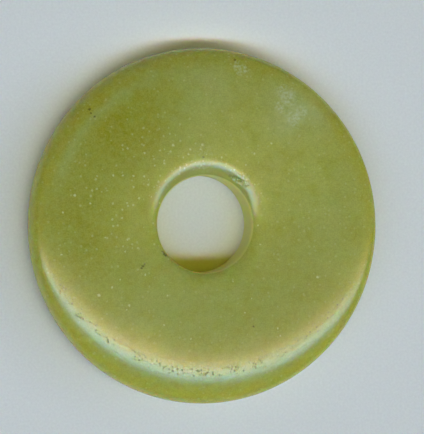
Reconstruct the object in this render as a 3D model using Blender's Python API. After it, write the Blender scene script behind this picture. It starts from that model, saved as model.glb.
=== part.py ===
"""Chrysoprase donut pendant: one polished stone ring, lying on its back.

Run it with blender --background --python part.py, or from Blender's text editor.
It works in metres with +Z up. The origin is on the hole's axis, in the plane of the back face.
"""

import math

import bmesh
import bpy
from mathutils import Matrix, Vector

MM = 0.001

# Driving dimensions of the ring
OUTER_DIAMETER = 30.0 * MM
THICKNESS = 4.1 * MM
HOLE_DIAMETER = 8.2 * MM

# Each face rounds down to the rim over this radial width. A fullness of 2 is an ellipse, and more is squarer.
SHOULDER_WIDTH = 8.6 * MM
SHOULDER_FULLNESS = 2.9

# The hole's mouth is eased on both faces: its radial width, and how deep it runs into the hole.
MOUTH_WIDTH = 1.6 * MM
MOUTH_DEPTH = 0.65 * MM
MOUTH_FULLNESS = 2.0

# Facets: round the ring, along each quarter of the rim, and along each mouth
FACETS_AROUND = 96
SHOULDER_FACETS = 14
MOUTH_FACETS = 6

# Yellow-green chrysoprase with a soft polish, in linear colour
STONE_COLOUR = (0.262, 0.302, 0.072, 1.0)
STONE_ROUGHNESS = 0.22
STONE_IOR = 1.54


def clear_scene():
    """Removes every object that the file opened with."""
    for obj in list(bpy.data.objects):
        bpy.data.objects.remove(obj)


def eased_quarter(width, depth, fullness, facets):
    """Points of a quarter of a superellipse, from the flat face (0, depth) to the wall (width, 0)."""
    points = []
    for step in range(facets + 1):
        turn = 0.5 * math.pi * step / facets
        across = width * math.sin(turn) ** (2 / fullness)
        up = depth * max(math.cos(turn), 0.0) ** (2 / fullness)
        points.append((across, up))
    points[-1] = (width, 0.0)
    return points


def ring_section():
    """The ring's cross-section as (radius, height) points, round from the front face over the rim to the hole."""
    outer_radius = OUTER_DIAMETER / 2
    hole_radius = HOLE_DIAMETER / 2
    half = THICKNESS / 2
    rim = eased_quarter(SHOULDER_WIDTH, half, SHOULDER_FULLNESS, SHOULDER_FACETS)
    mouth = eased_quarter(MOUTH_WIDTH, MOUTH_DEPTH, MOUTH_FULLNESS, MOUTH_FACETS)
    land_outer = outer_radius - SHOULDER_WIDTH
    land_inner = hole_radius + MOUTH_WIDTH
    wall_half = half - MOUTH_DEPTH

    front_rim = [(land_outer + across, half + up) for across, up in rim]
    back_rim = [(land_outer + across, half - up) for across, up in reversed(rim[:-1])]
    back_mouth = [(land_inner - across, half - wall_half - up) for across, up in mouth]
    front_mouth = [(land_inner - across, half + wall_half + up) for across, up in reversed(mouth)]
    return front_rim + back_rim + back_mouth + front_mouth


def stone_material():
    """Polished yellow-green chrysoprase."""
    material = bpy.data.materials.new("polished_chrysoprase")
    material.use_nodes = True
    shader = material.node_tree.nodes["Principled BSDF"]
    shader.inputs["Base Color"].default_value = STONE_COLOUR
    shader.inputs["Roughness"].default_value = STONE_ROUGHNESS
    shader.inputs["IOR"].default_value = STONE_IOR
    shader.inputs["Metallic"].default_value = 0.0
    material.diffuse_color = STONE_COLOUR
    return material


def turned_ring(name, section):
    """A closed solid made by turning the section once round the Z axis."""
    shape = bmesh.new()
    corners = [shape.verts.new((radius, 0.0, height)) for radius, height in section]
    edges = [shape.edges.new((corners[i - 1], corners[i])) for i in range(len(corners))]
    bmesh.ops.spin(
        shape,
        geom=corners + edges,
        cent=Vector(),
        axis=Vector((0.0, 0.0, 1.0)),
        angle=math.tau,
        steps=FACETS_AROUND,
        use_merge=True,
    )
    bmesh.ops.recalc_face_normals(shape, faces=shape.faces)
    mesh = bpy.data.meshes.new(name)
    shape.to_mesh(mesh)
    shape.free()
    mesh.shade_smooth()
    return mesh


def make_donut():
    """The stone ring, resting on its back face."""
    ring = bpy.data.objects.new("stone_donut", turned_ring("stone_donut", ring_section()))
    ring.data.materials.append(stone_material())
    ring.matrix_world = Matrix.Identity(4)
    bpy.context.scene.collection.objects.link(ring)
    return ring


def main():
    clear_scene()
    make_donut()


main()
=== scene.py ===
"""Chrysoprase donut pendant: cuts and finishes the polished stone ring and lays it on a scanner's bed.

It is laid out as a Blender add-on and run as a script. The ring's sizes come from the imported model.
"""

import math

import bmesh
import bpy
import numpy as np
from bpy.props import FloatProperty, FloatVectorProperty, IntProperty, PointerProperty
from bpy.types import Operator, Panel, PropertyGroup
from mathutils import Matrix, Vector, noise


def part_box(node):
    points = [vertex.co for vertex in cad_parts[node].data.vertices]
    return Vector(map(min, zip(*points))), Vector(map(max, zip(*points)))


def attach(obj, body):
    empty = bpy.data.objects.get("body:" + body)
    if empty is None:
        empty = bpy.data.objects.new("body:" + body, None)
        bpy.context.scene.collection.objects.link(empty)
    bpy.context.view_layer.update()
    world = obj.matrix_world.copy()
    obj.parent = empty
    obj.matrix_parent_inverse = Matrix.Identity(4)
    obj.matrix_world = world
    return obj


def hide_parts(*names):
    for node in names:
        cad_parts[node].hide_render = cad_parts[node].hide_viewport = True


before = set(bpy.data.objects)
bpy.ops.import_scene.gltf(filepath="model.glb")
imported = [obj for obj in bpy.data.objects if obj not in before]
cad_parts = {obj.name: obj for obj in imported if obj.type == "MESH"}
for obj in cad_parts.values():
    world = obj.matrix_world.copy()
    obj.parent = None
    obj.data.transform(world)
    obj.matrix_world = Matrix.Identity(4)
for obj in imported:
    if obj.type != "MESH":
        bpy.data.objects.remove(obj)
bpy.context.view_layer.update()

bl_info = {
    "name": "Stone Donut Pendant",
    "version": (1, 0, 0),
    "blender": (4, 5, 0),
    "location": "3D Viewport > Sidebar > Stone Donut",
    "description": "Cuts and polishes a chrysoprase ring and lays it on a scanner's bed",
    "category": "Add Mesh",
}

MM = 0.001
NODE = "stone_donut"


def srgb(hex_colour):
    """An sRGB hex colour as linear red, green and blue."""
    channels = [int(hex_colour[i:i + 2], 16) / 255 for i in (0, 2, 4)]
    return tuple(c / 12.92 if c <= 0.04045 else ((c + 0.055) / 1.055) ** 2.4 for c in channels)


def ring_sizes():
    """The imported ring's own sizes, read from the corners of its mesh."""
    low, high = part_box(NODE)
    corners = [(math.hypot(v.co.x, v.co.y), v.co.z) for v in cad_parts[NODE].data.vertices]
    near = 0.001 * MM
    land = [radius for radius, height in corners if height > high.z - near]
    bore = min(radius for radius, height in corners)
    bore_top = max(height for radius, height in corners if radius < bore + near)
    return {
        "thickness": high.z - low.z,
        "rim": max(radius for radius, height in corners),
        "land_outer": max(land),
        "land_inner": min(land),
        "bore": bore,
        "mouth_depth": high.z - bore_top,
    }


SIZES = ring_sizes()

# Marks on the front face: across and up from the ring's axis, and radius, in millimetres
DARK_SPECKS = (
    (-9.98, 9.89, 0.16),
    (-9.92, 9.55, 0.10),
    (-9.60, 9.25, 0.15),
    (2.60, 14.1, 0.15),
    (-0.33, 5.83, 0.15),
    (-5.40, -3.20, 0.13),
    (-5.53, -3.36, 0.14),
    (-5.66, -3.52, 0.12),
    (-3.78, -2.14, 0.14),
    (-3.66, -2.30, 0.17),
    (-3.50, -2.46, 0.14),
    (4.05, -8.48, 0.12),
)
LIGHT_FLECKS = (
    (-6.72, -6.67, 0.15),
    (-9.32, -5.82, 0.19),
    (-8.21, -5.15, 0.13),
    (-7.50, -4.50, 0.10),
    (-6.93, -7.05, 0.09),
    (-5.34, -4.08, 0.10),
    (-6.90, -1.12, 0.12),
    (-8.80, -0.95, 0.09),
    (-7.07, -2.13, 0.09),
    (-12.5, -2.40, 0.10),
    (-11.4, 2.60, 0.15),
    (-10.1, 1.93, 0.11),
    (-8.11, 4.30, 0.11),
    (-6.37, 4.26, 0.11),
    (-5.38, 6.20, 0.13),
    (-2.92, 6.84, 0.15),
    (-12.4, 1.17, 0.12),
    (-3.44, -5.86, 0.10),
    (-3.70, -8.36, 0.12),
    (-1.37, -9.50, 0.10),
    (3.88, -6.08, 0.10),
    (3.30, -7.30, 0.10),
    (2.27, -4.67, 0.11),
    (9.62, -4.29, 0.14),
    (6.42, -9.25, 0.11),
    (6.16, -8.65, 0.11),
    (3.36, 5.20, 0.10),
    (-1.43, 6.50, 0.13),
    (-1.60, 6.11, 0.12),
    (-0.56, 6.50, 0.11),
    (-0.39, 6.89, 0.14),
    (-0.04, 6.08, 0.10),
    (-2.04, 5.83, 0.11),
    (-5.43, 4.22, 0.11),
    (1.26, 5.83, 0.12),
    (4.13, 6.16, 0.12),
    (5.61, 7.01, 0.11),
    (4.48, 0.07, 0.10),
    (4.65, -1.54, 0.10),
)

# Chips and pits cut into the front, as across, up, radius and depth in millimetres
CHIPS = (
    (2.20, 4.15, 0.24, 0.030),
    (2.50, 4.02, 0.28, 0.060),
    (2.82, 3.88, 0.26, 0.060),
    (3.12, 3.72, 0.22, 0.040),
    (3.62, 3.38, 0.20, 0.024),
    (-3.56, -2.28, 0.24, 0.100),
    (-5.43, -3.23, 0.18, 0.020),
    (2.60, 14.1, 0.22, 0.030),
    (-9.98, 9.89, 0.14, 0.020),
    (7.55, -10.2, 0.16, 0.016),
    (8.60, -9.50, 0.12, 0.012),
    (5.10, -11.9, 0.14, 0.014),
)

# Painted shade on the chipped facet below the chips, which faces away from the lamp, as across, up and radius
# in millimetres
PAINTED_CHIP_SHADE = (
    (2.05, 4.28, 0.20),
    (2.40, 4.16, 0.28),
    (2.75, 4.02, 0.28),
    (3.05, 3.88, 0.20),
)

# Broad clouds in the stone: across, up and radius in millimetres, strength, and which colour. The pale straw
# clouds round the hole, towards the upper right and beside the foot's highlight are painted sheen, the broad
# tail of the gloss there
CLOUDS = (
    (-7.5, 8.5, 7.5, 1.00, "deep_olive"),
    (-10.5, 0.0, 7.0, 0.85, "deep_olive"),
    (-1.5, -7.0, 6.0, 0.80, "grey_green"),
    (10.0, 2.0, 7.0, 0.45, "grey_green"),
    (1.5, 11.0, 5.0, 0.55, "grey_green"),
    (5.5, 5.5, 11.0, 0.45, "painted_sheen"),
    (-1.2, 2.4, 8.5, 0.60, "painted_sheen"),
    (-7.0, 0.5, 4.0, 0.30, "painted_sheen"),
    (-5.1, -9.8, 2.8, 0.55, "painted_sheen"),
    (0.0, 11.5, 3.5, 0.25, "pale_veil"),
    (8.0, 9.8, 4.5, 0.60, "pale_veil"),
)

# Milky wisps near the edge, as across, up and radius in millimetres
WISPS = (
    (6.70, 11.40, 0.80),
    (7.15, 10.90, 1.00),
    (6.35, 10.10, 0.60),
    (7.60, 9.20, 1.00),
    (8.30, 9.70, 0.70),
    (2.85, 13.60, 0.60),
    (3.15, 13.30, 0.70),
)

# Round places: across, up and radius in millimetres, the even core's share of the radius, and strength
CHIPPED_MOUTH = (3.25, 3.75, 0.75, 0.5, 1.0)
# Painted sheen with scuffs: the pale streaky patch above the hole, round the gloss of its mouth
SHEEN_AND_SCUFFS_HEAD = (-0.2, 5.75, 1.8, 0.2, 0.3)
FLECKED_SIDE = (-4.5, 2.5, 8.5, 0.3, 0.36)
PALE_ARC_SIDE = (-9.5, 8.0, 8.0, 0.4, 0.8)
# Painted shade on the paper under the ring and on its left
PAINTED_PAPER_SHADE = (-6.0, 0.0, 18.0, 0.5, 1.0)

# The middle of the arc along which the foot's shoulder bends most, in millimetres
CREST_CENTRE = (0.0, 1.9, 0.0)

# The lamp's three colours: name, turn off the lamp's angle, the gloss's turn, width (all degrees), and colour
LAMP_COLOURS = (
    ("red", -1.3, -2.2, 8.4, (1.0, 0.10, 0.05)),
    ("green", 0.0, 0.3, 9.6, (0.05, 0.98, 0.10)),
    ("blue", 0.9, 2.2, 9.4, (0.05, 0.10, 1.03)),
)


class RingShape(PropertyGroup):
    """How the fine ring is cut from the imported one."""

    shoulder_fullness: FloatProperty(
        name="Shoulder fullness",
        description="2 rounds the shoulder as an ellipse, and more makes it squarer",
        default=2.9,
        min=1.0,
    )
    mouth_fullness: FloatProperty(
        name="Mouth fullness",
        description="2 rounds the hole's mouth as an ellipse, and more makes it squarer",
        default=2.0,
        min=1.0,
    )
    girdle_lift: FloatProperty(
        name="Girdle lift",
        description="Share of half the thickness by which the rim's widest line lies above the middle",
        default=0.039,
        min=-0.3,
        max=0.3,
    )
    girdle_lean: FloatProperty(
        name="Girdle lean",
        description="Share by which hand grinding left that line higher on the right and lower on the left",
        default=0.224,
        min=0.0,
        max=0.3,
    )
    girdle_wave: FloatVectorProperty(
        name="Girdle wave",
        description="Shares by which the line also rises twice in a turn, across and on the diagonal",
        default=(0.068, 0.048),
        size=2,
        min=-0.1,
        max=0.1,
    )
    outline_wave: FloatVectorProperty(
        name="Outline wave",
        description="How far out of round: oval upright, oval on the diagonal, and fuller at the head",
        default=(0.04 * MM, 0.02 * MM, 0.04 * MM),
        size=3,
        subtype="TRANSLATION",
        unit="LENGTH",
    )
    hole_offset: FloatVectorProperty(
        name="Hole offset",
        description="How far the drilled hole is off centre",
        default=(-0.07 * MM, 0.18 * MM),
        size=2,
        subtype="TRANSLATION",
        unit="LENGTH",
    )
    mouth_offset: FloatVectorProperty(
        name="Mouth offset",
        description="How far the front mouth's easing is off the hole's own centre",
        default=(0.06 * MM, 0.10 * MM),
        size=2,
        subtype="TRANSLATION",
        unit="LENGTH",
    )
    waviness: FloatProperty(
        name="Waviness",
        description="Height of the slow waves that hand polishing leaves",
        default=0.004 * MM,
        precision=6,
        subtype="DISTANCE",
        unit="LENGTH",
    )
    steps_around: IntProperty(
        name="Steps around",
        description="Steps of the turned ring",
        default=400,
        min=32,
    )
    steps_along: IntProperty(
        name="Steps along",
        description="Steps round the ring's section",
        default=190,
        min=24,
    )


class StoneLook(PropertyGroup):
    """The colours and the finish of the stone."""

    body: FloatVectorProperty(
        name="Body",
        description="The yellow green that most of the stone has",
        default=srgb("A4A94F"),
        size=3,
        subtype="COLOR",
    )
    grey_green: FloatVectorProperty(
        name="Grey green",
        description="The cooler clouds in the stone",
        default=srgb("A9B267"),
        size=3,
        subtype="COLOR",
    )
    deep_olive: FloatVectorProperty(
        name="Deep olive",
        description="The clearer and darker patches",
        default=srgb("9A9C2E"),
        size=3,
        subtype="COLOR",
    )
    # Painted sheen: the broad tail of the gloss round the hole's upper side, towards the upper right and
    # beside the foot's highlight
    painted_sheen: FloatVectorProperty(
        name="Pale straw",
        description="The lighter stone round the hole and towards the upper right",
        default=srgb("C2C468"),
        size=3,
        subtype="COLOR",
    )
    pale_veil: FloatVectorProperty(
        name="Pale veil",
        description="The bluish white veils near the edge",
        default=srgb("B8C69A"),
        size=3,
        subtype="COLOR",
    )
    # The rim's warmer colour is partly painted glow, the light that comes through the thin edge
    warm_rim_and_painted_glow: FloatVectorProperty(
        name="Golden rim",
        description="The clearer and warmer stone along the rim",
        default=srgb("ACA842"),
        size=3,
        subtype="COLOR",
    )
    # Also the colour of the painted sheen with scuffs above the hole
    wisp_and_sheen: FloatVectorProperty(
        name="Wisp",
        description="The milky wisps near the edge",
        default=srgb("C6D1AC"),
        size=3,
        subtype="COLOR",
    )
    ground: FloatVectorProperty(
        name="Ground mouth",
        description="The greyer slope ground round the hole's mouth",
        default=srgb("969D5A"),
        size=3,
        subtype="COLOR",
    )
    drilled: FloatVectorProperty(
        name="Drilled wall",
        description="The paler wall of the hole",
        default=srgb("CCCB7C"),
        size=3,
        subtype="COLOR",
    )
    # Also the colour of the painted glints along the hole's mouth
    fleck_and_glint: FloatVectorProperty(
        name="Fleck",
        description="The fine light flecks",
        default=srgb("DCE2B0"),
        size=3,
        subtype="COLOR",
    )
    # Also the colour of the painted shade on the chipped facet and in the pits
    speck_and_shade: FloatVectorProperty(
        name="Speck",
        description="The dark mineral specks",
        default=srgb("50482A"),
        size=3,
        subtype="COLOR",
    )
    roughness: FloatProperty(
        name="Roughness",
        description="Roughness of the soft polish",
        default=0.22,
        min=0.0,
        max=1.0,
        subtype="FACTOR",
    )
    depth: FloatProperty(
        name="Light depth",
        description="How far light wanders inside the stone",
        default=6.0 * MM,
        precision=4,
        subtype="DISTANCE",
        unit="LENGTH",
    )


class StageLook(PropertyGroup):
    """The scanner's bed, its lamps and the camera."""

    frame_height: FloatProperty(
        name="Frame height",
        description="Height of the picture at the ring: 434 dots at 300 to the inch",
        default=434 / 300 * 25.4 * MM,
        precision=4,
        subtype="DISTANCE",
        unit="LENGTH",
    )
    camera_distance: FloatProperty(
        name="Camera distance",
        description="From the ring to the camera, far enough for a scanner's even view",
        default=1.2,
        subtype="DISTANCE",
        unit="LENGTH",
    )
    camera_tilt: FloatProperty(
        name="Camera tilt",
        description="How far the view leans towards the ring's left side",
        default=math.radians(13.0),
        subtype="ANGLE",
        unit="ROTATION",
    )
    aim: FloatVectorProperty(
        name="Aim",
        description="The point in the picture's middle, across and up from the ring's centre",
        default=(0.89 * MM, 0.79 * MM),
        size=2,
        subtype="TRANSLATION",
        unit="LENGTH",
    )
    lamp_angle: FloatProperty(
        name="Lamp angle",
        description="How far the lamp leans from straight above, towards the picture's foot",
        default=math.radians(19.09),
        subtype="ANGLE",
        unit="ROTATION",
    )
    lamp_distance: FloatProperty(
        name="Lamp distance",
        description="From the ring to each lamp",
        default=2.5,
        subtype="DISTANCE",
        unit="LENGTH",
    )
    lamp_length: FloatProperty(
        name="Lamp length",
        description="Length of each lamp across the picture",
        default=8.0,
        subtype="DISTANCE",
        unit="LENGTH",
    )
    lamp_power: FloatProperty(
        name="Lamp power",
        description="Power of each colour of the lamp",
        default=62.0,
        subtype="POWER",
        unit="POWER",
    )
    gloss_power: FloatProperty(
        name="Gloss power",
        description="Power of each colour of the lamp as the gloss shows it",
        default=60.0,
        subtype="POWER",
        unit="POWER",
    )
    lamp_spread: FloatProperty(
        name="Lamp spread",
        description="Width of each lamp's beam, which dims its far ends as the ring sees them",
        default=math.radians(140),
        subtype="ANGLE",
        unit="ROTATION",
    )
    fill_power: FloatProperty(
        name="Fill power",
        description="Power of the low light from the picture's head",
        default=2.5,
        subtype="POWER",
        unit="POWER",
    )
    paper: FloatVectorProperty(
        name="Paper",
        description="The pale sheet that the ring lies on",
        default=srgb("DCE0E5"),
        size=3,
        subtype="COLOR",
    )
    # Painted shade: the sheet's darker tone under the ring and on its left
    painted_paper_shade: FloatVectorProperty(
        name="Lifted paper",
        description="The sheet's tone under the ring and on its left, where it lies off the glass",
        default=srgb("CBCECD"),
        size=3,
        subtype="COLOR",
    )
    bore_tint: FloatVectorProperty(
        name="Bore tint",
        description="Colour of the light that comes through the stone into the hole",
        default=srgb("FAEC00"),
        size=3,
        subtype="COLOR",
    )
    bore_glow: FloatProperty(
        name="Bore glow",
        description="Brightness of that light",
        default=0.6,
        min=0.0,
    )
    rim_tint: FloatVectorProperty(
        name="Rim tint",
        description="Colour of the light that comes through the thin rim, paler because its way is short",
        default=srgb("FFF6AC"),
        size=3,
        subtype="COLOR",
    )
    rim_glow: FloatProperty(
        name="Rim glow",
        description="Brightness of that light",
        default=0.56,
        min=0.0,
    )
    air: FloatProperty(
        name="Air light",
        description="Strength of the light from all round",
        default=0.002,
        min=0.0,
    )


def quarter(width, depth, fullness, steps):
    """A quarter of a superellipse from (0, depth) on the flat to (width, 0) on the wall."""
    turn = np.linspace(0, math.pi / 2, steps)
    across = width * np.sin(turn) ** (2 / fullness)
    up = depth * np.clip(np.cos(turn), 0, 1) ** (2 / fullness)
    return np.column_stack((across, up))


def ring_section(shape):
    """Evenly spaced points of the section as radius and height, from the front land over the rim and back."""
    half = SIZES["thickness"] / 2
    fine = 400
    shoulder = quarter(SIZES["rim"] - SIZES["land_outer"], half, shape.shoulder_fullness, fine)
    mouth = quarter(SIZES["land_inner"] - SIZES["bore"], SIZES["mouth_depth"], shape.mouth_fullness, fine)
    front_rim = shoulder + (SIZES["land_outer"], half)
    front_mouth = mouth[::-1] * (-1, 1) + (SIZES["land_inner"], SIZES["thickness"] - SIZES["mouth_depth"])
    back_rim = front_rim[::-1] * (1, -1) + (0, SIZES["thickness"])
    back_mouth = front_mouth[::-1] * (1, -1) + (0, SIZES["thickness"])
    outline = np.vstack((front_rim, back_rim, back_mouth, front_mouth, front_rim[:1]))
    lengths = np.hypot(*np.diff(outline, axis=0).T)
    along = np.concatenate(([0.0], np.cumsum(lengths)))
    even = np.linspace(0, along[-1], shape.steps_along, endpoint=False)
    return np.column_stack((np.interp(even, along, outline[:, 0]), np.interp(even, along, outline[:, 1])))


def smooth_share(value, start, end):
    """0 at start and 1 at end, easing in and out."""
    share = min(max((value - start) / (end - start), 0.0), 1.0)
    return share * share * (3 - 2 * share)


def turn_ring(shape):
    """The plain ring: its section spun once round the upright axis."""
    ring = bmesh.new()
    corners = [ring.verts.new((radius, 0.0, height)) for radius, height in ring_section(shape)]
    edges = [ring.edges.new((corners[i - 1], corners[i])) for i in range(len(corners))]
    bmesh.ops.spin(
        ring,
        geom=corners + edges,
        cent=Vector(),
        axis=Vector((0.0, 0.0, 1.0)),
        angle=math.tau,
        steps=shape.steps_around,
        use_merge=True,
    )
    bmesh.ops.recalc_face_normals(ring, faces=ring.faces)
    return ring


def refine_chips(ring):
    """Finer faces where a chip is cut."""
    half = SIZES["thickness"] / 2
    reach = 1.3
    edges = set()
    for face in ring.faces:
        middle = face.calc_center_median()
        if middle.z < half:
            continue
        for across, up, radius, depth in CHIPS:
            if math.hypot(middle.x - across * MM, middle.y - up * MM) < reach * radius * MM:
                edges.update(face.edges)
                break
    bmesh.ops.subdivide_edges(ring, edges=list(edges), cuts=2, use_grid_fill=True)


def girdle_rise(across, up, shape):
    """How far the rim's widest line lies above the middle in one direction, as a share of half the height."""
    once = shape.girdle_lift + shape.girdle_lean * across
    twice = shape.girdle_wave[0] * (across ** 2 - up ** 2) + shape.girdle_wave[1] * 2 * across * up
    return once + twice


def outline_swell(across, up, shape):
    """How far the rim stands out beyond the round in one direction."""
    upright, diagonal, head = shape.outline_wave
    return upright * (up ** 2 - across ** 2) - diagonal * 2 * across * up + head * up


def hand_grind(ring, shape):
    """What cutting by hand does: an uneven rim out of round, a hole off centre and slow waves."""
    rim = SIZES["rim"]
    mouth = SIZES["mouth_depth"]
    for vert in ring.verts:
        radius = math.hypot(vert.co.x, vert.co.y)
        if radius > SIZES["land_outer"]:
            across, up = vert.co.x / radius, vert.co.y / radius
            rise = girdle_rise(across, up, shape)
            vert.co.z += rise * min(vert.co.z, SIZES["thickness"] - vert.co.z)
            swell = outline_swell(across, up, shape) * smooth_share(radius, SIZES["land_outer"], rim)
            vert.co.x += across * swell
            vert.co.y += up * swell
        near_hole = 1 - smooth_share(radius, SIZES["land_inner"], rim)
        eased = smooth_share(vert.co.z, SIZES["thickness"] - mouth, SIZES["thickness"])
        offset = Vector(shape.hole_offset) + Vector(shape.mouth_offset) * eased
        vert.co.x += offset.x * near_hole
        vert.co.y += offset.y * near_hole
    ring.normal_update()
    wave_length = 5 * MM
    for vert in ring.verts:
        vert.co += vert.normal * shape.waviness * noise.noise(vert.co / wave_length)
        vert.co.z = max(vert.co.z, 0.0)
    ring.normal_update()


def cut_chips(ring):
    """Small hollows with ragged edges."""
    half = SIZES["thickness"] / 2
    reach = 1.5
    ragged = 0.12 * MM
    uneven_edge = 0.45
    uneven_floor = 0.8
    for vert in ring.verts:
        if vert.co.z < half:
            continue
        for across, up, radius, depth in CHIPS:
            away = math.hypot(vert.co.x - across * MM, vert.co.y - up * MM) / (radius * MM)
            if away > reach:
                continue
            away += uneven_edge * noise.noise(vert.co / ragged)
            hollow = 1 - smooth_share(away, 0.1, 1.0)
            floor = 1 + uneven_floor * noise.noise(vert.co / ragged * 2)
            vert.co -= vert.normal * depth * MM * hollow * floor


def add_node(tree, kind, settings=None, inputs=None):
    """Adds a node with its settings, and sets or links its inputs."""
    node = tree.nodes.new(kind)
    for name, value in (settings or {}).items():
        setattr(node, name, value)
    for name, value in (inputs or {}).items():
        if isinstance(value, bpy.types.NodeSocket):
            tree.links.new(value, node.inputs[name])
        else:
            node.inputs[name].default_value = value
    return node


def per_metre(size_mm):
    """A texture's scale for features of that size."""
    return 1 / (size_mm * MM)


def grain(tree, place, size_mm, low, high, detail=1.0):
    """Noise with features of a size in millimetres, spread between two values."""
    cells = add_node(
        tree,
        "ShaderNodeTexNoise",
        inputs={"Vector": place, "Scale": per_metre(size_mm), "Detail": detail, "Roughness": 0.5},
    )
    spread = add_node(
        tree,
        "ShaderNodeMapRange",
        {"clamp": False},
        {"Value": cells.outputs["Fac"], "From Min": 0.3, "From Max": 0.7, "To Min": low, "To Max": high},
    )
    return spread.outputs["Result"]


def fade(tree, value, start, end, strength=1.0):
    """0 where a value is at start and the full strength where it is at end, easing between."""
    spread = add_node(
        tree,
        "ShaderNodeMapRange",
        {"interpolation_type": "SMOOTHSTEP"},
        {"Value": value, "From Min": start, "From Max": end, "To Min": 0.0, "To Max": strength},
    )
    return spread.outputs["Result"]


def distance_from(tree, place, centre_mm):
    """How far each point lies from a centre given in millimetres."""
    centre = tuple(value * MM for value in centre_mm)
    away = add_node(tree, "ShaderNodeVectorMath", {"operation": "DISTANCE"}, {0: place, 1: centre})
    return away.outputs["Value"]


def round_mask(tree, place, across, up, radius, core, strength, height=0.0):
    """Strength inside a round place, in millimetres, fading from its even core to nothing at the edge."""
    away = distance_from(tree, place, (across, up, height))
    return fade(tree, away, radius * MM, radius * core * MM, strength)


def tint(tree, under, over, mask):
    """A plain colour over another colour where the mask says."""
    mix = add_node(tree, "ShaderNodeMix", {"data_type": "RGBA"}, {0: mask, 6: under, 7: (*over, 1.0)})
    return mix.outputs[2]


def joined(tree, operation, *masks):
    """Masks made one, such as their product or the highest of them."""
    whole = masks[0]
    for mask in masks[1:]:
        whole = add_node(tree, "ShaderNodeMath", {"operation": operation}, {0: whole, 1: mask}).outputs[0]
    return whole


def drifted(tree, place, size_mm, reach_mm):
    """The place moved about at random, so that what is drawn there has uneven edges."""
    cells = add_node(
        tree,
        "ShaderNodeTexNoise",
        inputs={"Vector": place, "Scale": per_metre(size_mm), "Detail": 3.0},
    )
    centred = add_node(
        tree,
        "ShaderNodeVectorMath",
        {"operation": "SUBTRACT"},
        {0: cells.outputs["Color"], 1: (0.5, 0.5, 0.5)},
    )
    moved = add_node(
        tree,
        "ShaderNodeVectorMath",
        {"operation": "MULTIPLY_ADD"},
        {0: centred.outputs[0], 1: (2 * reach_mm * MM,) * 3, 2: place},
    )
    return moved.outputs[0]


def band(tree, value, start, peak, end, strength):
    """A mask that rises from start to its peak and falls to nothing at end."""
    rise = fade(tree, value, start, peak, strength)
    return joined(tree, "MULTIPLY", rise, fade(tree, value, end, peak))


def grained(tree, colour, place, size_mm, strength, shares):
    """The colour made lighter and darker in fine grains, by each channel's share."""
    shade = grain(tree, place, size_mm, -strength, strength, 1.0)
    changed = add_node(
        tree,
        "ShaderNodeVectorMath",
        {"operation": "MULTIPLY_ADD"},
        {0: shade, 1: shares, 2: colour},
    )
    return changed.outputs[0]


def clouded_colour(tree, place, flat, look):
    """The stone's colour: broad clouds, some of them painted sheen, a warmer rim with a painted glow, a paler
    arc inside it, mottling and fine grain.
    """
    cloudy = drifted(tree, place, 3.5, 2.2)
    colour = tint(tree, (*look.body, 1.0), look.grey_green, grain(tree, cloudy, 5.0, 0.0, 0.45, 3.0))
    face = SIZES["thickness"] / MM
    for across, up, radius, strength, name in CLOUDS:
        mask = round_mask(tree, cloudy, across, up, radius, 0.0, strength, face)
        colour = tint(tree, colour, getattr(look, name), mask)
    from_axis = distance_from(tree, flat, (0.0, 0.0, 0.0))
    # A warmer rim, partly painted glow of the light through the thin edge
    colour = tint(tree, colour, look.warm_rim_and_painted_glow, fade(tree, from_axis, 13.3 * MM, 14.3 * MM, 0.55))
    arc = band(tree, from_axis, 12.3 * MM, 13.3 * MM, 14.0 * MM, 1.0)
    upper_left = round_mask(tree, flat, *PALE_ARC_SIDE)
    colour = tint(tree, colour, look.grey_green, joined(tree, "MULTIPLY", arc, upper_left))
    colour = tint(tree, colour, look.deep_olive, grain(tree, place, 1.1, -0.15, 0.36, 2.0))
    colour = tint(tree, colour, look.grey_green, grain(tree, place, 0.45, -0.05, 0.26, 1.0))
    even = (1.1, 1.0, 0.35)
    colour = grained(tree, colour, place, 0.35, 0.016, even)
    return grained(tree, colour, place, 0.12, 0.034, even)


def marks(tree, place, front, places, strength):
    """A mask of small uneven marks on the front."""
    core = 0.35
    masks = [round_mask(tree, place, *mark, core, strength) for mark in places]
    return joined(tree, "MULTIPLY", joined(tree, "MAXIMUM", *masks), front)


def scattered_dots(tree, place, spacing_mm, radius_mm, rarity, strength):
    """Small dots all through the stone, one to each cell of the spacing where chance is above the rarity."""
    cells = add_node(tree, "ShaderNodeTexVoronoi", inputs={"Vector": place, "Scale": per_metre(spacing_mm)})
    radius = radius_mm / spacing_mm
    dot = fade(tree, cells.outputs["Distance"], radius, 0.5 * radius)
    chances = add_node(tree, "ShaderNodeSeparateColor", inputs={"Color": cells.outputs["Color"]})
    chosen = fade(tree, chances.outputs["Red"], rarity, rarity + 0.3, strength)
    return joined(tree, "MULTIPLY", dot, chosen)


def flattened(tree, place):
    """The place seen from straight above, without its height."""
    flat = add_node(tree, "ShaderNodeVectorMath", {"operation": "MULTIPLY"}, {0: place, 1: (1.0, 1.0, 0.0)})
    return flat.outputs[0]


def stretched(tree, value, low, high):
    """A mask from 0 to 1 as a value from low to high."""
    spread = add_node(tree, "ShaderNodeMapRange", inputs={"Value": value, "To Min": low, "To Max": high})
    return spread.outputs["Result"]


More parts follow.
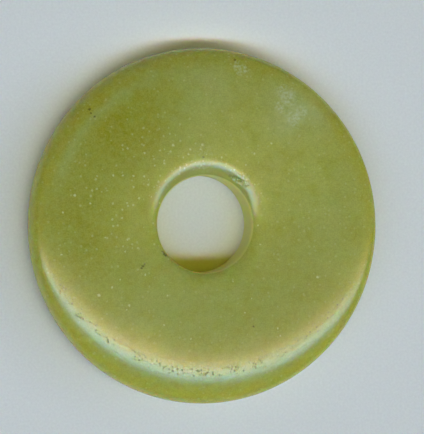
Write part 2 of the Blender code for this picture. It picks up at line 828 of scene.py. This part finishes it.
def marked_colour(tree, colour, place, shaken, front, streaks, look):
    """The colour with the wisps, flecks and specks of the front face and the painted shade below the chips,
    each in its own place.
    """
    torn = flattened(tree, drifted(tree, place, 0.5, 0.4))
    wisps = joined(tree, "MULTIPLY", marks(tree, torn, front, WISPS, 0.8), streaks)
    colour = tint(tree, colour, look.wisp_and_sheen, wisps)
    colour = tint(tree, colour, look.fleck_and_glint, marks(tree, shaken, front, LIGHT_FLECKS, 0.7))
    colour = tint(tree, colour, look.speck_and_shade, marks(tree, shaken, front, DARK_SPECKS, 0.7))
    # Painted shade on the chipped facet that faces away from the lamp
    return tint(tree, colour, look.speck_and_shade, marks(tree, shaken, front, PAINTED_CHIP_SHADE, 0.3))


def sheen_flecks_and_glints_colour(tree, colour, flat, uneven_place, mouth_edge, streaks, look):
    """The colour with painted sheen and scuffs above the hole, fine flecks on its left and painted glints
    along its mouth's edge.
    """
    # Painted sheen of the mouth's gloss, streaked like scuffs, above the hole
    sheen_and_scuffs = joined(tree, "MULTIPLY", round_mask(tree, flat, *SHEEN_AND_SCUFFS_HEAD), streaks)
    colour = tint(tree, colour, look.wisp_and_sheen, sheen_and_scuffs)
    thick = joined(tree, "ADD", round_mask(tree, flat, *FLECKED_SIDE), 0.18)
    dots = joined(tree, "MULTIPLY", scattered_dots(tree, uneven_place, 0.45, 0.13, 0.4, 1.0), thick)
    colour = tint(tree, colour, look.fleck_and_glint, dots)
    # Painted glints: light dots that break up the gloss along the mouth's edge
    painted_glints = joined(tree, "MULTIPLY", scattered_dots(tree, uneven_place, 0.25, 0.1, 0.3, 1.0), mouth_edge)
    return tint(tree, colour, look.fleck_and_glint, painted_glints)


def open_pits(tree, place, flat, uneven_place, foot):
    """A mask of loose groups of pits that tumbling left open, where the foot's shoulder bends most."""
    crest = band(tree, distance_from(tree, flat, CREST_CENTRE), 13.5 * MM, 14.3 * MM, 15.0 * MM, 1.0)
    groups = fade(tree, grain(tree, place, 0.8, 0.0, 1.0, 1.0), 0.15, 0.5)
    pits = scattered_dots(tree, uneven_place, 0.26, 0.11, 0.1, 1.0)
    return joined(tree, "MULTIPLY", pits, crest, groups, foot)


def tumbled_chrysoprase(look, hole_centre):
    """Chrysoprase, fine quartz coloured by nickel, ground, drilled and tumbled to a soft polish.

    Light wanders deep into it, so it glows a cloudy yellow green, and its gloss is slightly blurred.
    """
    material = bpy.data.materials.new("tumbled_chrysoprase")
    material.use_nodes = True
    tree = material.node_tree
    tree.nodes.clear()
    place = add_node(tree, "ShaderNodeTexCoord").outputs["Object"]
    flat = flattened(tree, place)
    shaken = flattened(tree, drifted(tree, place, 0.14, 0.11))
    uneven_place = drifted(tree, place, 0.12, 0.08)
    streaks = fade(tree, grain(tree, place, 0.22, 0.0, 1.0, 2.0), 0.1, 1.1)

    # Marks are on the front only, the ground slope is at the hole's head and the pits are at the ring's foot
    parts = add_node(tree, "ShaderNodeSeparateXYZ", inputs={0: place})
    half = SIZES["thickness"] / 2
    front = fade(tree, parts.outputs["Z"], half, half + 0.2 * MM)
    head = fade(tree, parts.outputs["Y"], 0.5 * MM, 3.0 * MM)
    foot = joined(tree, "MULTIPLY", front, fade(tree, parts.outputs["Y"], -3 * MM, -7 * MM))
    bore = SIZES["bore"]
    from_hole = distance_from(tree, flat, hole_centre)
    ground = fade(tree, from_hole, bore + 1.4 * MM, bore + 0.8 * MM, 0.8)
    mouth_edge = band(tree, from_hole, bore + 0.85 * MM, bore + 1.15 * MM, bore + 1.6 * MM, 0.7)
    drilled = fade(tree, from_hole, bore + 0.14 * MM, bore + 0.04 * MM)
    pits = open_pits(tree, place, flat, uneven_place, foot)

    colour = clouded_colour(tree, place, flat, look)
    colour = tint(tree, colour, look.ground, joined(tree, "MULTIPLY", ground, head))
    colour = marked_colour(tree, colour, place, shaken, front, streaks, look)
    # Painted glints along the mouth's edge at the hole's head
    glint_edge = joined(tree, "MULTIPLY", mouth_edge, head)
    colour = sheen_flecks_and_glints_colour(tree, colour, flat, uneven_place, glint_edge, streaks, look)
    colour = tint(tree, colour, look.drilled, drilled)
    # Painted shade: the pits are darker, as their gloss breaks in them
    colour = tint(tree, colour, look.speck_and_shade, joined(tree, "MULTIPLY", pits, 0.5))

    # The drilled wall and the pits are duller, and the hole's mouth is less evenly polished than the face
    roughness = stretched(tree, joined(tree, "MAXIMUM", pits, drilled), look.roughness, 0.7)
    mouth = fade(tree, from_hole, SIZES["land_inner"] + 0.3 * MM, SIZES["land_inner"] - 0.3 * MM)
    chipped = round_mask(tree, shaken, *CHIPPED_MOUTH)
    uneven = joined(tree, "MAXIMUM", joined(tree, "MULTIPLY", mouth, 0.35), chipped)
    texture_height = stretched(tree, uneven, 0.0009 * MM, 0.012 * MM)
    texture = joined(tree, "MULTIPLY", grain(tree, place, 0.16, 0.0, 1.0, 1.0), texture_height)
    height = joined(tree, "SUBTRACT", texture, joined(tree, "MULTIPLY", pits, 0.014 * MM))
    bump = add_node(tree, "ShaderNodeBump", inputs={"Strength": 1.0, "Distance": 1.0, "Height": height})
    shader = add_node(
        tree,
        "ShaderNodeBsdfPrincipled",
        {"subsurface_method": "RANDOM_WALK"},
        {
            "Base Color": colour,
            "Roughness": roughness,
            "IOR": 1.54,
            "Subsurface Weight": 1.0,
            "Subsurface Radius": (1.0, 0.9, 0.25),
            "Subsurface Scale": look.depth,
            "Normal": bump.outputs["Normal"],
        },
    )
    add_node(tree, "ShaderNodeOutputMaterial", inputs={"Surface": shader.outputs["BSDF"]})
    return material


def matt_paper(look):
    """Uncoated white paper, faintly blue, with no gloss, and painted shade under the ring and on its left."""
    material = bpy.data.materials.new("matt_paper")
    material.use_nodes = True
    tree = material.node_tree
    shader = tree.nodes["Principled BSDF"]
    place = add_node(tree, "ShaderNodeTexCoord").outputs["Object"]
    # Painted shade under the ring and on its left
    paper_shade = round_mask(tree, place, *PAINTED_PAPER_SHADE)
    colour = tint(tree, (*look.paper, 1.0), look.painted_paper_shade, paper_shade)
    colour = grained(tree, colour, place, 0.2, 0.02, (1.0, 1.0, 1.0))
    tree.links.new(colour, shader.inputs["Base Color"])
    shader.inputs["Roughness"].default_value = 0.9
    shader.inputs["Specular IOR Level"].default_value = 0.0
    return material


def aimed(place, target, up):
    """The matrix of a lamp or camera at a place, looking at a target."""
    back = (place - target).normalized()
    right = up.cross(back).normalized()
    turn = Matrix((right, back.cross(right), back)).transposed().to_4x4()
    turn.translation = place
    return turn


class STONE_OT_cut_ring(Operator):
    """Cuts, grinds and polishes the stone ring"""

    bl_idname = "stone_donut.cut_ring"
    bl_label = "Cut Ring"
    bl_options = {"REGISTER", "UNDO"}

    def execute(self, context):
        shape = context.scene.ring_shape
        ring = turn_ring(shape)
        refine_chips(ring)
        hand_grind(ring, shape)
        cut_chips(ring)
        bmesh.ops.recalc_face_normals(ring, faces=ring.faces)
        mesh = bpy.data.meshes.new("chrysoprase_ring")
        ring.to_mesh(mesh)
        ring.free()
        mesh.shade_smooth()
        hole_centre = (shape.hole_offset[0] / MM, shape.hole_offset[1] / MM, 0.0)
        mesh.materials.append(tumbled_chrysoprase(context.scene.stone_look, hole_centre))
        piece = bpy.data.objects.new("chrysoprase_ring", mesh)
        context.scene.collection.objects.link(piece)
        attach(piece, "root")
        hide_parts(NODE)
        return {"FINISHED"}


class STONE_OT_set_stage(Operator):
    """Lays the paper and sets the lamps and the camera"""

    bl_idname = "stone_donut.set_stage"
    bl_label = "Set Stage"
    bl_options = {"REGISTER", "UNDO"}

    def execute(self, context):
        look = context.scene.stage_look
        scene = context.scene
        lay_paper(scene, look)
        set_lamps(scene, look)
        set_camera(scene, look)
        scene.view_settings.view_transform = "Standard"
        return {"FINISHED"}


def lay_paper(scene, look):
    """The sheet under the ring, a hair below it so that the two faces never coincide."""
    reach = 3.0
    sheet = bmesh.new()
    bmesh.ops.create_grid(sheet, x_segments=1, y_segments=1, size=reach)
    bmesh.ops.translate(sheet, verts=sheet.verts, vec=(0.0, 0.0, -0.02 * MM))
    mesh = bpy.data.meshes.new("paper")
    sheet.to_mesh(mesh)
    sheet.free()
    mesh.materials.append(matt_paper(look))
    paper = bpy.data.objects.new("paper", mesh)
    scene.collection.objects.link(paper)


def add_lamp(scene, name, length, width, power, colour):
    """A rectangular lamp that lights the scene and isn't seen itself."""
    data = bpy.data.lights.new(name, "AREA")
    data.shape = "RECTANGLE"
    data.size = length
    data.size_y = width
    data.energy = power
    data.color = colour
    lamp = bpy.data.objects.new(name, data)
    lamp.visible_camera = False
    scene.collection.objects.link(lamp)
    return lamp


def hang_lamp(scene, look, name, angle, width, colour, power):
    """A long lamp across the picture, leaning from straight above towards its foot by an angle."""
    across = 2 * look.lamp_distance * math.tan(width / 2)
    lamp = add_lamp(scene, name, look.lamp_length, across, power, colour)
    lamp.data.spread = look.lamp_spread
    place = Vector((0.0, -math.sin(angle), math.cos(angle))) * look.lamp_distance
    lamp.matrix_world = aimed(place, Vector(), Vector((0.0, 1.0, 0.0)))
    return lamp


def ring_glow(scene, name, radius, count, brightest, inward, evenness, brightness, colour):
    """Small lamps round a wall of the stone for the light that comes through it, aimed down on the paper."""
    width = 1.0 * MM
    lean = 0.5
    height = 0.3 * SIZES["thickness"]
    length = 2 * radius * math.sin(math.pi / count)
    for step in range(count):
        turn = math.tau * (step + 0.5) / count
        share = (0.5 + 0.5 * math.cos(turn)) ** evenness
        power = math.pi * length * width * brightness * share
        lamp = add_lamp(scene, f"{name}_{step}", length, width, power, colour)
        lamp.visible_glossy = False
        outward = Vector((math.cos(brightest + turn), math.sin(brightest + turn), 0.0))
        place = outward * radius + Vector((0.0, 0.0, height))
        slant = Vector((0.0, 0.0, -1.0)) + (-outward if inward else outward) * lean
        lamp.matrix_world = aimed(place, place + slant * MM, Vector((0.0, 0.0, 1.0)))


def set_lamps(scene, look):
    """The scanner's lamp, a low fill, the light that has come through the stone and a trace of air light.

    A scanner's three colour rows see the glass at slightly different angles. That parts the colours of the
    gloss more than those of the shadows, so each colour has one lamp for the gloss and one for the rest.
    """
    for name, turn, gloss_turn, degrees_wide, colour in LAMP_COLOURS:
        width = math.radians(degrees_wide)
        angle = look.lamp_angle + math.radians(turn)
        gloss_angle = look.lamp_angle + math.radians(gloss_turn)
        lamp = hang_lamp(scene, look, f"{name}_lamp", angle, width, colour, look.lamp_power)
        lamp.visible_glossy = False
        gloss = hang_lamp(scene, look, f"{name}_gloss", gloss_angle, width, colour, look.gloss_power)
        gloss.visible_diffuse = False
    fill_angle = math.radians(-72)
    fill_width = math.radians(20)
    hang_lamp(scene, look, "fill", fill_angle, fill_width, (0.95, 0.95, 0.95), look.fill_power)

    # The light from the stone is strongest away from the lamp: at the hole's foot and beyond the ring's head
    bore_radius = SIZES["bore"] - 0.5 * MM
    rim_radius = SIZES["rim"] + 0.3 * MM
    foot = -math.pi / 2
    head = math.pi / 2
    ring_glow(scene, "bore_glow", bore_radius, 20, foot, True, 0.7, look.bore_glow, look.bore_tint)
    ring_glow(scene, "rim_glow", rim_radius, 40, head, False, 0.8, look.rim_glow, look.rim_tint)
    world = bpy.data.worlds.new("air")
    world.use_nodes = True
    background = world.node_tree.nodes["Background"]
    background.inputs["Color"].default_value = (0.9, 0.95, 1.0, 1.0)
    background.inputs["Strength"].default_value = look.air
    scene.world = world


def set_camera(scene, look):
    """A long lens above the ring, leaning to its left as the scanner's does."""
    tilt = look.camera_tilt
    across = Vector((math.cos(tilt), 0.0, math.sin(tilt)))
    back = Vector((-math.sin(tilt), 0.0, math.cos(tilt)))
    middle = Vector((0.0, 0.0, SIZES["thickness"] / 2))
    target = middle + across * look.aim[0] + Vector((0.0, look.aim[1], 0.0))
    data = bpy.data.cameras.new("camera")
    data.lens = data.sensor_width * look.camera_distance / look.frame_height
    data.clip_start = 0.01
    camera = bpy.data.objects.new("camera", data)
    scene.collection.objects.link(camera)
    camera.matrix_world = aimed(target + back * look.camera_distance, target, Vector((0.0, 1.0, 0.0)))
    scene.camera = camera


class STONE_PT_donut(Panel):
    """The ring's and the stage's settings"""

    bl_label = "Stone Donut"
    bl_space_type = "VIEW_3D"
    bl_region_type = "UI"
    bl_category = "Stone Donut"

    def draw(self, context):
        scene = context.scene
        for group in (scene.ring_shape, scene.stone_look):
            self.list_settings(group)
        self.layout.operator("stone_donut.cut_ring")
        self.list_settings(scene.stage_look)
        self.layout.operator("stone_donut.set_stage")

    def list_settings(self, group):
        box = self.layout.box()
        for name in group.__annotations__:
            box.prop(group, name)


CLASSES = (RingShape, StoneLook, StageLook, STONE_OT_cut_ring, STONE_OT_set_stage, STONE_PT_donut)
SETTINGS = {"ring_shape": RingShape, "stone_look": StoneLook, "stage_look": StageLook}


def register():
    for cls in CLASSES:
        bpy.utils.register_class(cls)
    for name, group in SETTINGS.items():
        setattr(bpy.types.Scene, name, PointerProperty(type=group))


def unregister():
    for name in SETTINGS:
        delattr(bpy.types.Scene, name)
    for cls in reversed(CLASSES):
        bpy.utils.unregister_class(cls)


def main():
    register()
    bpy.ops.stone_donut.cut_ring()
    bpy.ops.stone_donut.set_stage()


if __name__ == "__main__":
    main()
